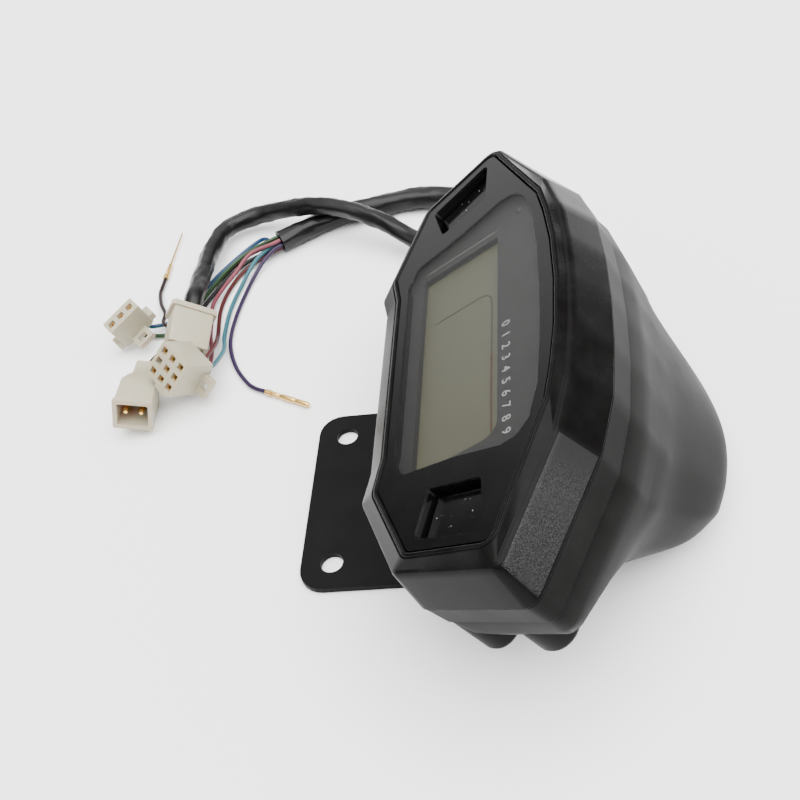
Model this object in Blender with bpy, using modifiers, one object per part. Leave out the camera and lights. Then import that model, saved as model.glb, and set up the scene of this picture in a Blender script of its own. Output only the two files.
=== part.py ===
"""Motorcycle instrument cluster: LCD speedometer with two push buttons, bracket and harness.

The row frame has +Z up from the bracket plate's underside, +X to the rider's right and -Y towards the
rider. The face is tilted back, so its pieces are modelled in a face frame (x right, v up the display,
depth behind the lens surface) carried by one empty. Lengths in the constants are millimetres.
"""
import math

import bmesh
import bpy
from mathutils import Matrix, Vector

MM = 0.001
GAP = 0.3                       # between pieces that touch

FACE_TILT = math.radians(31)    # display plane against the bracket plate
FACE_HEIGHT = 55.3              # lens's lower edge above the plate's underside
SPLIT_DEPTH = 16.0              # front shell to middle frame
SEAM_DEPTH = 25.0               # middle frame to rear cowl
WALL = 2.2                      # moulded wall thickness
LENS_THICK = 2.4
LENS_SEAT = 3.5                 # depth of the ledge the lens's gasket rests on
LEDGE_BACK = 6.5
PLATE_WIDTH = 74.0              # bracket
PLATE_THICK = 2.0
PLATE_FRONT = -38.0
PLATE_BACK = 21.0
HOLE_RADIUS = 3.7
HOLE_HALF_PITCH = 27.1
HOLE_Y = -27.8
WIRE_RADIUS = 0.85
SHEATH_A_RADIUS = 4.5
SHEATH_B_RADIUS = 3.7

# Right half of each closed outline from the bottom to the top centre, as x, v and corner radius.
LENS_EDGE = [(33, 1.8, 0), (44, -0.6, 4), (69.8, 12.0, 3), (78.3, 38.3, 3), (42.5, 54.9, 8),
             (32, 57.0, 0), (18, 58.8, 0), (0, 59.5, 0)]
FACE_EDGE = [(33, -7.3, 0), (42.5, -9.8, 4), (72.5, 4.6, 4), (85.5, 38.6, 3), (52, 57.0, 10),
             (35, 61.6, 0), (18, 63.3, 0), (0, 63.9, 0)]
SPLIT_EDGE = [(33, -9.5, 0), (43, -12.0, 4), (75.3, 3.6, 5), (89.6, 39.8, 5), (54, 60.4, 10),
              (36, 65.4, 0), (18, 67.2, 0), (0, 67.7, 0)]
# Rear cowl, from the seam to the tip: depth and outline.
COWL_SECTIONS = [
    (31.0, [(33, -8.0, 0), (43, -8.5, 4), (76.0, 8.0, 5), (87.6, 39.0, 5), (53, 59.8, 10),
            (36, 64.4, 0), (18, 66.2, 0), (0, 66.7, 0)]),
    (35.5, [(30, 3.0, 0), (40, 3.0, 4), (76.5, 14.0, 5), (85.3, 37.8, 5), (52.5, 58.9, 10),
            (36, 63.6, 0), (18, 65.4, 0), (0, 65.9, 0)]),
    (40.5, [(28, 2.0, 0), (37, 3.0, 4), (66.0, 15.0, 6), (72.5, 43.0, 7), (51, 57.6, 10),
            (35, 62.8, 0), (18, 64.6, 0), (0, 65.1, 0)]),
    (47.0, [(27, -1.4, 0), (35, -1.0, 4), (57.5, 14.0, 7), (62.0, 45.0, 8), (48, 57.0, 9),
            (33, 62.0, 0), (17, 63.8, 0), (0, 64.4, 0)]),
    (55.0, [(26, -6.2, 0), (34, -5.5, 4), (50.0, 12.0, 8), (54.0, 44.0, 8), (43, 56.2, 9),
            (29, 61.2, 0), (15, 63.0, 0), (0, 63.6, 0)]),
    (65.0, [(24, 6.6, 0), (32, 7.6, 4), (43.5, 18.0, 7), (46.5, 44.0, 8), (38, 56.2, 8),
            (26, 61.0, 0), (13, 62.9, 0), (0, 63.5, 0)]),
    (76.5, [(20, 22.4, 0), (27, 23.4, 4), (35.5, 30.0, 6), (38.5, 44.5, 7), (32.5, 56.2, 7),
            (22, 60.6, 0), (11, 62.4, 0), (0, 63.2, 0)]),
    (85.4, [(15, 35.6, 0), (20, 36.2, 3), (28.0, 40.4, 4), (31.0, 47.0, 5), (26.0, 56.2, 5),
            (18, 60.0, 0), (9, 62.2, 0), (0, 63.0, 0)]),
    (88.0, [(12, 40.6, 0), (16, 41.2, 3), (22.5, 43.6, 3), (25.0, 48.0, 4), (21.5, 54.0, 4),
            (14, 57.4, 0), (7, 59.0, 0), (0, 59.6, 0)]),
]
BUTTON_WELL = [(52.6, 18.0), (66.9, 13.8), (75.0, 36.2), (57.4, 35.4)]
BOSSES = [(66.5, 6.6, 6.5, 29.0, 46.0), (74.0, 25.6, 7.0, 34.0, 45.5)]   # x, v, radius, depth range
GROMMET_A = (-52.6, 31.0, 57.0)     # x, v and depth of each cable outlet in the cowl's left wall
GROMMET_B = (-51.0, 17.0, 57.0)

# Harness routes in the row frame. The sheaths and wires lie on the surface the bracket stands on.
ROUTE_A = [(-74.0, 69.5, 8.5), (-96, 66, 4.9), (-122, 50, 4.8), (-145, 28, 4.8), (-156, 8, 4.8),
           (-159, -12, 4.8), (-156.5, -27, 4.8), (-154, -42, 4.8), (-147.5, -55, 4.8), (-140, -67, 4.8)]
ROUTE_B = [(-72, 49.5, 4.8), (-92, 36, 4.2), (-110, 15, 4.6), (-126, -7, 7.5), (-136, -21, 11.5),
           (-144, -36, 14.2), (-149.5, -50, 14.0), (-155.5, -66, 10.0), (-157.5, -80, 7.0), (-151, -92, 6.6),
           (-136, -95.6, 7.6), (-118, -95.2, 10.2)]
MOUTH = Vector((-140, -67, 4.8))            # where the wires leave sheath A
MOUTH_AXIS = Vector((0.53, -0.848, 0.0))
FAN_RADIUS = 2.5

# Connector housings: wire end centre, way the mating face looks, direction of its width, and the
# (distance from the wire end, half width, half height) of each section.
NINE_WAY = ((-61.3, -88.5, 10.2), (0.66, -0.37, 0.65), (-0.31, 0.66, 0.69),
            [(0, 7.4, 7.4), (14.6, 7.4, 7.4)])
THREE_WAY = ((-91.6, -119.6, 5.2), (0.27, -0.18, 0.95), (-0.63, 0.74, 0.24),
             [(0, 6.6, 2.8), (1.0, 7.5, 3.4), (12.5, 7.5, 3.4)])
TWO_WAY = ((-59.9, -109.4, 6.7), (0.98, 0.09, 0.18), (-0.03, 0.96, -0.28),
           [(-9.0, 4.3, 3.8), (0, 4.3, 3.8), (0.8, 5.2, 4.4), (6.0, 6.95, 5.85), (21.9, 6.95, 5.85)])
SIX_WAY = ((-89.2, -93.4, 14.0), (0.97, -0.03, -0.2), (-0.05, 0.8, -0.6),
           [(0, 7.75, 5.25), (18.5, 7.75, 5.25)])
CELL = 4.7                      # contact pitch
CONTACT = 2.0
CONTACT_LENGTH = 6.6
CELL_DEPTH = 8.0
SHROUD_WALL = 1.3

# Wires from sheath A: colour, angle round the fan (None for its middle), route, connector and cell.
WIRES = [
    ("blue", 154, [(-144, -76, 4.0), (-139, -84, 2.0), (-126, -93.8, 1.0), (-111, -100.4, 1.0),
                   (-101, -105.4, 1.0)], "three", (1, 0)),
    ("green", 103, [(-135.5, -80, 4.9), (-129, -87, 3.6), (-119.3, -92, 3.4), (-109.6, -95.8, 3.3),
                    (-99, -99.4, 3.5), (-92.6, -107, 1.0)], "three", (0, 0)),
    ("pink", 51, [(-133, -79, 5.6), (-124.4, -84.8, 3.2), (-113.4, -89.4, 2.9), (-105, -91.2, 2.9),
                  (-96, -90, 2.9), (-87, -89, 2.6), (-76, -86.4, 2.8)], "nine", (0, -1)),
    ("light_blue", None, [(-131, -76.7, 3.6), (-118, -81.6, 1.2), (-103, -83.9, 1.2), (-87.5, -83.6, 1.6),
                          (-76, -81, 4.4)], "nine", (1, -1)),
    ("red", 308, [(-129, -81, 1.1), (-117, -86.4, 1.0), (-104, -88.2, 1.0), (-89, -86.6, 1.4),
                  (-77.5, -84.2, 6.4)], "nine", (1, 0)),
    ("black", 257, [(-133.5, -81.5, 1.0), (-122, -89.6, 1.0), (-108, -95.8, 1.0), (-94, -101.4, 1.0),
                    (-85, -106.5, 1.6), (-77, -109.4, 3.6)], "two", (0, 0)),
]
# Two wires end in loose crimped terminals: the last route point is the terminal's crimped end.
VIOLET = (0, [(-130.5, -73.4, 3.0), (-118.5, -78, 1.0), (-99, -80.8, 1.0), (-83.5, -80.6, 1.0),
              (-70, -76.3, 1.0), (-60, -70, 1.0), (-56, -65.5, 1.1), (-54.2, -62, 1.2)])
BROWN = (206, [(-136.5, -82.5, 1.6), (-123, -92.2, 1.0), (-109, -98.6, 1.3), (-101, -101.8, 3.2),
               (-95.5, -103.6, 4.4), (-93.6, -107.2, 4.4), (-97, -110.4, 3.8), (-103, -111.2, 3.2),
               (-111, -115, 2.2), (-120, -117.5, 1.2), (-128, -117.2, 1.2)])

COLOURS = {
    "shell": ((0.018, 0.018, 0.019), 0.42, 0.0), "gloss": ((0.008, 0.008, 0.009), 0.08, 0.0),
    "rubber": ((0.02, 0.02, 0.02), 0.8, 0.0), "vinyl": ((0.03, 0.03, 0.032), 0.35, 0.0),
    "lcd": ((0.23, 0.24, 0.19), 0.2, 0.0), "white": ((0.75, 0.75, 0.72), 0.4, 0.0),
    "pcb": ((0.02, 0.16, 0.07), 0.45, 0.0), "chip": ((0.02, 0.02, 0.02), 0.5, 0.0),
    "steel": ((0.55, 0.55, 0.57), 0.3, 1.0), "plate": ((0.015, 0.015, 0.015), 0.4, 0.3),
    "nylon": ((0.82, 0.81, 0.75), 0.4, 0.0), "brass": ((0.75, 0.52, 0.2), 0.3, 1.0),
    "blue": ((0.02, 0.12, 0.45), 0.4, 0.0), "violet": ((0.2, 0.06, 0.35), 0.4, 0.0),
    "green": ((0.05, 0.25, 0.08), 0.4, 0.0), "pink": ((0.85, 0.4, 0.5), 0.4, 0.0),
    "red": ((0.45, 0.02, 0.03), 0.4, 0.0), "light_blue": ((0.25, 0.6, 0.75), 0.4, 0.0),
    "black": ((0.015, 0.015, 0.015), 0.4, 0.0), "brown": ((0.12, 0.04, 0.03), 0.4, 0.0),
}

for old in list(bpy.data.objects):
    bpy.data.objects.remove(old)

parts = bpy.data.collections.new("instrument_cluster")
cutters = bpy.data.collections.new("cutters")
for collection in (parts, cutters):
    bpy.context.scene.collection.children.link(collection)

face_frame = bpy.data.objects.new("face_frame", None)
face_frame.location = (0, 0, FACE_HEIGHT * MM)
face_frame.rotation_euler = (FACE_TILT, 0, 0)
parts.objects.link(face_frame)


def material(name):
    colour, roughness, metallic = COLOURS[name]
    made = bpy.data.materials.get(name)
    if made is None:
        made = bpy.data.materials.new(name)
        made.use_nodes = True
        shader = made.node_tree.nodes["Principled BSDF"]
        shader.inputs["Base Color"].default_value = (*colour, 1)
        shader.inputs["Roughness"].default_value = roughness
        shader.inputs["Metallic"].default_value = metallic
    return made


def add(name, mesh, finish=None, parent=None, matrix=None, collection=parts):
    """Link one mesh as a named object, with its material and its place."""
    made = bpy.data.objects.new(name, mesh)
    collection.objects.link(made)
    if finish:
        mesh.materials.append(material(finish))
    if matrix is not None:
        made.matrix_basis = matrix
    if parent is not None:
        made.parent = parent
    if collection is cutters:
        made.hide_render = True
        made.display_type = "WIRE"
    return made


def offset_loop(points, grow):
    """Move each edge of a counter-clockwise polygon outwards by grow and meet the edges again."""
    moved = []
    count = len(points)
    for i in range(count):
        before, here, after = (Vector(points[j % count][:2]) for j in (i - 1, i, i + 1))
        first = (here - before).normalized()
        second = (after - here).normalized()
        out_first = Vector((first.y, -first.x))
        out_second = Vector((second.y, -second.x))
        mitre = (out_first + out_second) / (1 + out_first.dot(out_second))
        moved.append(here + mitre * grow)
    return moved


def rounded(points, radii, steps=3):
    """Round each corner that has a radius; a corner always gives the same number of points."""
    made = []
    count = len(points)
    for i in range(count):
        here, radius = Vector(points[i]), radii[i]
        if radius <= 0:
            made.append(here)
            continue
        before = (Vector(points[i - 1]) - here).normalized()
        after = (Vector(points[(i + 1) % count]) - here).normalized()
        half = before.angle(after) / 2
        reach = radius / math.tan(half)
        centre = here + (before + after).normalized() * radius / math.sin(half)
        start = here + before * reach - centre
        end = here + after * reach - centre
        turn = math.atan2(start.x * end.y - start.y * end.x, start.dot(end))
        for k in range(steps + 1):
            angle = turn * k / steps
            made.append(centre + Matrix.Rotation(angle, 2) @ start)
    return made


def shell_loop(half, grow=0.0):
    """Closed outline from its right half, offset by grow."""
    full = half + [(-x, v, r) for x, v, r in reversed(half[:-1])]
    radii = [max(r + grow, 0.8) if r > 0 else 0 for _, _, r in full]
    return rounded(offset_loop(full, grow), radii)


def ring(loop, depth):
    return [Vector((p.x, p.y, -depth)) * MM for p in loop]


def loft(name, rings, finish, parent=face_frame, closed=False, matrix=None, collection=parts):
    """Skin a list of equal rings, from the back to the front; closed joins the last ring to the first."""
    mesh = bpy.data.meshes.new(name)
    bm = bmesh.new()
    rows = [[bm.verts.new(p) for p in points] for points in rings]
    count = len(rows[0])
    pairs = list(zip(rows, rows[1:]))
    if closed:
        pairs.append((rows[-1], rows[0]))
    for low, high in pairs:
        for i in range(count):
            j = (i + 1) % count
            bm.faces.new((low[i], low[j], high[j], high[i]))
    if not closed:
        bm.faces.new(list(reversed(rows[0])))
        bm.faces.new(rows[-1])
    bmesh.ops.triangulate(bm, faces=[f for f in bm.faces if len(f.verts) > 4])
    bmesh.ops.recalc_face_normals(bm, faces=bm.faces)
    bm.to_mesh(mesh)
    bm.free()
    return add(name, mesh, finish, parent, matrix, collection)


def flat_piece(name, loops, back, front, finish, parent=face_frame, bevel=0.0, collection=parts):
    """A flat outline with holes, between two depths, as a filled 2D curve made a mesh."""
    curve = bpy.data.curves.new(name, "CURVE")
    curve.dimensions = "2D"
    curve.fill_mode = "BOTH"
    curve.extrude = abs(back - front) / 2 * MM
    for loop in loops:
        spline = curve.splines.new("POLY")
        spline.points.add(len(loop) - 1)
        for point, place in zip(spline.points, loop):
            point.co = (place[0] * MM, place[1] * MM, 0, 1)
        spline.use_cyclic_u = True
    shape = bpy.data.objects.new(name + "_curve", curve)
    parts.objects.link(shape)
    mesh = bpy.data.meshes.new_from_object(shape.evaluated_get(bpy.context.evaluated_depsgraph_get()))
    bpy.data.objects.remove(shape)
    bm = bmesh.new()
    bm.from_mesh(mesh)
    bmesh.ops.remove_doubles(bm, verts=bm.verts, dist=0.00001)
    bmesh.ops.translate(bm, verts=bm.verts, vec=(0, 0, -(back + front) / 2 * MM))
    bmesh.ops.recalc_face_normals(bm, faces=bm.faces)
    bm.to_mesh(mesh)
    bm.free()
    mesh.name = name
    made = add(name, mesh, finish, parent, collection=collection)
    if bevel:
        edge = made.modifiers.new("edge", "BEVEL")
        edge.width = bevel * MM
        edge.segments = 1
        edge.limit_method = "ANGLE"
    return made


def block(name, size, centre, finish, parent=None, matrix=None, bevel=0.0, collection=parts):
    """A box of full size (mm) about its centre."""
    mesh = bpy.data.meshes.new(name)
    bm = bmesh.new()
    bmesh.ops.create_cube(bm, size=1)
    bmesh.ops.scale(bm, verts=bm.verts, vec=Vector(size) * MM)
    bmesh.ops.translate(bm, verts=bm.verts, vec=Vector(centre) * MM)
    if bevel:
        bmesh.ops.bevel(bm, geom=bm.edges, offset=bevel * MM, segments=1, affect="EDGES")
    bm.to_mesh(mesh)
    bm.free()
    return add(name, mesh, finish, parent, matrix, collection)


def turned(name, profile, place, axis, finish, segments=20, parent=None, collection=parts):
    """A turned piece: profile is (distance along the axis, radius) from one end, closed on the axis."""
    outline = [(profile[-1][0], 0)] + list(reversed(profile)) + [(profile[0][0], 0)]
    mesh = bpy.data.meshes.new(name)
    mesh.from_pydata([(radius * MM, 0, along * MM) for along, radius in outline],
                     [(i, i + 1) for i in range(len(outline) - 1)], [])
    turn = Vector(axis).to_track_quat("Z", "Y").to_matrix().to_4x4()
    made = add(name, mesh, finish, parent, Matrix.Translation(Vector(place) * MM) @ turn, collection)
    screw = made.modifiers.new("turn", "SCREW")
    screw.steps = segments
    screw.render_steps = segments
    screw.use_merge_vertices = True
    screw.merge_threshold = 0.00001
    return made


def apply_boolean(target, other, operation):
    """Boolean modifier kept on the target; the other object is a hidden cutter."""
    cut = target.modifiers.new(operation.lower(), "BOOLEAN")
    cut.operation = operation
    cut.solver = "EXACT"
    cut.object = other


def smooth_route(points, spacing):
    """Points about spacing apart along a Catmull-Rom curve; the first and last stretches stay straight."""
    route = [Vector(p) for p in points]
    dense = []
    for a, b, c, d in zip(route, route[1:], route[2:], route[3:]):
        for k in range(24):
            t = k / 24
            dense.append(0.5 * (2 * b + (c - a) * t + (2 * a - 5 * b + 4 * c - d) * t * t
                                + (3 * b - a - 3 * c + d) * t ** 3))
    dense.append(route[-2])
    lengths = [0.0]
    for p, q in zip(dense, dense[1:]):
        lengths.append(lengths[-1] + (q - p).length)
    count = max(2, round(lengths[-1] / spacing))
    made = [route[0]]
    index = 0
    for k in range(count + 1):
        target = lengths[-1] * k / count
        while index < len(lengths) - 2 and lengths[index + 1] < target:
            index += 1
        span = lengths[index + 1] - lengths[index]
        made.append(dense[index].lerp(dense[index + 1], (target - lengths[index]) / span))
    made.append(route[-1])
    return made


def tube(name, points, radius, finish, spacing, resolution=2):
    """A plain round cord along a smooth route, with filled ends."""
    curve = bpy.data.curves.new(name, "CURVE")
    curve.dimensions = "3D"
    curve.bevel_depth = radius * MM
    curve.bevel_resolution = resolution
    curve.use_fill_caps = True
    route = smooth_route(points, spacing)
    spline = curve.splines.new("POLY")
    spline.points.add(len(route) - 1)
    for point, place in zip(spline.points, route):
        point.co = (*(place * MM), 1)
    made = bpy.data.objects.new(name, curve)
    curve.materials.append(material(finish))
    parts.objects.link(made)
    return made


# ---- Front shell, lens and its gasket -------------------------------------------------------------
loft("front_bezel", [
    ring(shell_loop(FACE_EDGE, -1.0), 2.6),
    ring(shell_loop(FACE_EDGE), 3.5),
    ring(shell_loop(SPLIT_EDGE), SPLIT_DEPTH - GAP / 2),
    ring(shell_loop(SPLIT_EDGE, -WALL), SPLIT_DEPTH - GAP / 2),
    ring(shell_loop(FACE_EDGE, -WALL), LEDGE_BACK),
    ring(shell_loop(LENS_EDGE, -1.6), LEDGE_BACK),
    ring(shell_loop(LENS_EDGE, -1.6), LENS_SEAT),
    ring(shell_loop(LENS_EDGE, 0.4), LENS_SEAT),
    ring(shell_loop(LENS_EDGE, 0.4), -0.3),
    ring(shell_loop(LENS_EDGE, 1.2), -0.5),
], "shell", closed=True)


def well(side, grow):
    """One button well's outline, counter-clockwise, offset by grow."""
    points = BUTTON_WELL if side > 0 else [(-x, v) for x, v in reversed(BUTTON_WELL)]
    return rounded(offset_loop(points, grow), [max(1.4 + grow, 0.4)] * 4, 2)


flat_piece("lens", [shell_loop(LENS_EDGE), well(1, 0), well(-1, 0)], LENS_THICK, 0, "gloss")
flat_piece("lens_gasket", [shell_loop(LENS_EDGE, -0.1), shell_loop(LENS_EDGE, -1.4)],
           LENS_SEAT - GAP, LENS_THICK + GAP, "rubber")

# ---- Buttons: caps that slide in the wells along the face's normal, on tact switches -----------------
BUTTON_CENTRE = (63.0, 25.9, 2.2)   # x, v and depth of a button's origin
BUTTON_TOP = 3.2                # cap surface below the lens surface
BUTTON_SKIRT = 9.0
SWITCH_FRONT = 10.3
PCB_FRONT = 13.8
button_x, button_v, button_depth = BUTTON_CENTRE
for side, label in ((-1, "left"), (1, "right")):
    middle = Vector((side * button_x, button_v, -button_depth)) * MM
    cap = loft("button_" + label, [
        [p - middle for p in ring(well(side, -0.7), BUTTON_SKIRT)],
        [p - middle for p in ring(well(side, -0.7), BUTTON_TOP + 0.5)],
        [p - middle for p in ring(well(side, -1.2), BUTTON_TOP)],
    ], "gloss")
    cap.location = middle
    block("tact_switch_" + label, (6.2, 6.2, PCB_FRONT - GAP - SWITCH_FRONT),
          (side * button_x, button_v, -(PCB_FRONT - GAP + SWITCH_FRONT) / 2), "chip", face_frame)

# ---- Display stack behind the lens ---------------------------------------------------------------
LCD_HALF = (41.5, 17.2)         # the glass, half width and half height
LCD_CENTRE = (3.2, 24.0)        # the display sits a little right of the middle
MASK_HALF = (50.0, 21.0)
MASK_CENTRE = (0, 27.5)
OPENING_HALF = (40.2, 14.6)
MASK_FRONT = 3.0
LCD_FRONT = 4.4
LCD_BACK = 6.4
GUIDE_BACK = 10.4


def rectangle(half_x, half_v, centre=LCD_CENTRE):
    x, v = centre
    return [(x - half_x, v - half_v), (x + half_x, v - half_v), (x + half_x, v + half_v),
            (x - half_x, v + half_v)]


flat_piece("mask_plate", [rectangle(*MASK_HALF, MASK_CENTRE), rectangle(*OPENING_HALF)],
           LCD_FRONT - GAP, MASK_FRONT, "shell")
flat_piece("lcd_glass", [rectangle(*LCD_HALF)], LCD_BACK, LCD_FRONT, "lcd")
BACK_HALF_V = LCD_HALF[1] - 3.4     # clears the contact strip along the glass's lower edge
FILM_BACK = LCD_BACK + GAP + 0.4
flat_piece("polarizer", [rectangle(LCD_HALF[0] - 0.6, BACK_HALF_V)], FILM_BACK, LCD_BACK + GAP, "chip")
flat_piece("light_guide", [rectangle(LCD_HALF[0] - 1, BACK_HALF_V)], GUIDE_BACK, FILM_BACK + GAP, "white")
flat_piece("lcd_frame", [rectangle(LCD_HALF[0] + 2.2, LCD_HALF[1] + 2.2),
                         rectangle(LCD_HALF[0] + 0.4, LCD_HALF[1] + 0.4)],
           PCB_FRONT - 0.4, LCD_FRONT, "white")
block("zebra_strip", (66, 1.8, PCB_FRONT - LCD_BACK - 2 * GAP),
      (LCD_CENTRE[0], LCD_CENTRE[1] - LCD_HALF[1] + 1.6, -(PCB_FRONT + LCD_BACK) / 2), "rubber", face_frame)
PCB_EDGE = [(-60, 3.5), (60, 3.5), (75, 16), (79, 35), (50, 51), (-50, 51), (-79, 35), (-75, 16)]
PCB_BACK = PCB_FRONT + 1.6
CHIP_SIZE = (14, 14, 1.6)
HEADER_SIZE = (26, 6.5, 8.0)
flat_piece("main_pcb", [PCB_EDGE], PCB_BACK, PCB_FRONT, "pcb")
block("mcu_chip", CHIP_SIZE, (12, 30, -(PCB_BACK + GAP + CHIP_SIZE[2] / 2)), "chip", face_frame)
block("pcb_header", HEADER_SIZE, (-24, 14, -(PCB_BACK + GAP + HEADER_SIZE[2] / 2)), "white", face_frame)

# ---- Middle frame and seam gasket ----------------------------------------------------------------
loft("middle_frame", [
    ring(shell_loop(SPLIT_EDGE, -0.2), SPLIT_DEPTH + GAP / 2),
    ring(shell_loop(SPLIT_EDGE, -1.0), SEAM_DEPTH - GAP / 2),
    ring(shell_loop(SPLIT_EDGE, -1.0 - WALL), SEAM_DEPTH - GAP / 2),
    ring(shell_loop(SPLIT_EDGE, -1.0 - WALL), SPLIT_DEPTH + GAP / 2),
], "shell", closed=True)
loft("housing_gasket", [
    ring(shell_loop(SPLIT_EDGE, -1.3 - WALL), SPLIT_DEPTH + 1.4),
    ring(shell_loop(SPLIT_EDGE, -1.3 - WALL), SPLIT_DEPTH + 3.0),
    ring(shell_loop(SPLIT_EDGE, -2.9 - WALL), SPLIT_DEPTH + 3.0),
    ring(shell_loop(SPLIT_EDGE, -2.9 - WALL), SPLIT_DEPTH + 1.4),
], "rubber", closed=True)

# ---- Rear cowl: a cup whose outside steps from the tray to the tapered hump ---------------------------
outer = [ring(shell_loop(SPLIT_EDGE, -1.4), SEAM_DEPTH + GAP / 2)]
outer += [ring(shell_loop(half), depth) for depth, half in COWL_SECTIONS]
inner = [ring(shell_loop(half, -WALL - 0.3), depth - WALL) for depth, half in COWL_SECTIONS[:-1]]
inner_rim = ring(shell_loop(SPLIT_EDGE, -1.4 - WALL), SEAM_DEPTH + GAP / 2)
cowl = loft("rear_cowl", list(reversed(outer)) + [inner_rim] + inner, "shell")
BOSS_SIDES = [(side, place) for side in (-1, 1) for place in BOSSES]
for index, (side, (x, v, radius, top, end)) in enumerate(BOSS_SIDES):
    boss = turned("boss_%d" % index, [(0, radius), (end - top - 2, radius), (end - top, radius - 1.5)],
                  (side * x, v, -top), (0, 0, -1), None, 24, face_frame, cutters)
    apply_boolean(cowl, boss, "UNION")
    turned("housing_screw_%d" % (index + 1), [(0, 3.0), (1.2, 3.6), (2.2, 3.2)],
           (side * x, v, -end - GAP), (0, 0, -1), "steel", 16, face_frame)

# ---- Cable grommets in the cowl's left wall, and the bores they sit in --------------------------------
OUTLET_AXIS = Vector((-0.76, 0.0, -0.65)).normalized()      # out of the wall, in the face frame
OUTLET_INSIDE = 7.0             # how far a bore starts inside the wall's reference point
GROMMET_REACH = 6.5             # and how far the grommet's tip stands outside it


def outlet(name, centre, cord_radius):
    x, v, depth = centre
    seat = cord_radius + 2.2
    base = Vector((x, v, -depth)) - OUTLET_AXIS * OUTLET_INSIDE
    bore = turned(name + "_bore", [(0, seat), (20, seat)], base, OUTLET_AXIS, None, 24, face_frame, cutters)
    apply_boolean(cowl, bore, "DIFFERENCE")
    turned(name, [(0, seat - GAP), (10.0, seat - GAP), (12.5, cord_radius + 0.8)],
           base + OUTLET_AXIS * 1.0, OUTLET_AXIS, "rubber", 20, face_frame)


outlet("cable_grommet_a", GROMMET_A, SHEATH_A_RADIUS)
outlet("cable_grommet_b", GROMMET_B, SHEATH_B_RADIUS)


def outlet_end(centre):
    """The grommet's outer end and its direction, in the row frame (mm)."""
    turn = Matrix.Rotation(FACE_TILT, 3, "X")
    x, v, depth = centre
    place = Vector((x, v, -depth)) + OUTLET_AXIS * (GROMMET_REACH + GAP)
    return turn @ place + Vector((0, 0, FACE_HEIGHT)), turn @ OUTLET_AXIS


# ---- Bracket: a flat plate with two holes, bent up behind the housing ---------------------------------
half_width = PLATE_WIDTH / 2
upright_height = 21.0
bracket = block("bracket", (PLATE_WIDTH, PLATE_BACK - PLATE_FRONT, PLATE_THICK),
                (0, (PLATE_FRONT + PLATE_BACK) / 2, PLATE_THICK / 2), "plate")
upright = block("upright", (PLATE_WIDTH - 16, PLATE_THICK, upright_height),
                (0, PLATE_BACK - PLATE_THICK / 2, upright_height / 2), None, collection=cutters)
apply_boolean(bracket, upright, "UNION")
CORNER = 8.0
for side in (-1, 1):
    hole = turned("plate_hole_%d" % side, [(-3, HOLE_RADIUS), (6, HOLE_RADIUS)],
                  (side * HOLE_HALF_PITCH, HOLE_Y, 0), (0, 0, 1), None, 32, None, cutters)
    apply_boolean(bracket, hole, "DIFFERENCE")


def plate_outline():
    corners = [(-half_width, PLATE_FRONT), (half_width, PLATE_FRONT), (half_width, PLATE_BACK),
               (-half_width, PLATE_BACK)]
    return rounded([Vector(p) for p in corners], [CORNER, CORNER, 3, 3], 6)


BEND_TOP = 30.0                 # the outline cutter reaches past the upright's top
sheet = flat_piece("plate_sheet", [plate_outline()], -BEND_TOP, 5, None, None, collection=cutters)
apply_boolean(bracket, sheet, "INTERSECT")
SCREW_X = 22.0
SCREW_Z = 13.0
for side, label in ((-1, "left"), (1, "right")):
    place = (side * SCREW_X, PLATE_BACK - PLATE_THICK - GAP, SCREW_Z)
    turned("bracket_screw_" + label, [(0, 4.6), (3.2, 4.6), (3.9, 4.0)], place, (0, -1, 0), "steel", 18)


# ---- Harness: sheaths, connectors, wires and loose terminals -------------------------------------------
def frame_at(place, facing, across):
    """Row-frame matrix whose +Z looks along facing and whose +X is the width direction."""
    z_axis = Vector(facing).normalized()
    x_axis = Vector(across)
    x_axis = (x_axis - z_axis * x_axis.dot(z_axis)).normalized()
    y_axis = z_axis.cross(x_axis)
    turn = Matrix((x_axis, y_axis, z_axis)).transposed().to_4x4()
    return Matrix.Translation(Vector(place) * MM) @ turn


def rectangle_ring(half_x, half_y, along):
    """Corner-rounded rectangle, across a connector's axis."""
    corners = [Vector((x, y)) for x, y in ((-half_x, -half_y), (half_x, -half_y), (half_x, half_y),
                                          (-half_x, half_y))]
    return [Vector((p.x, p.y, along)) * MM for p in rounded(corners, [0.8] * 4, 2)]


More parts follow.
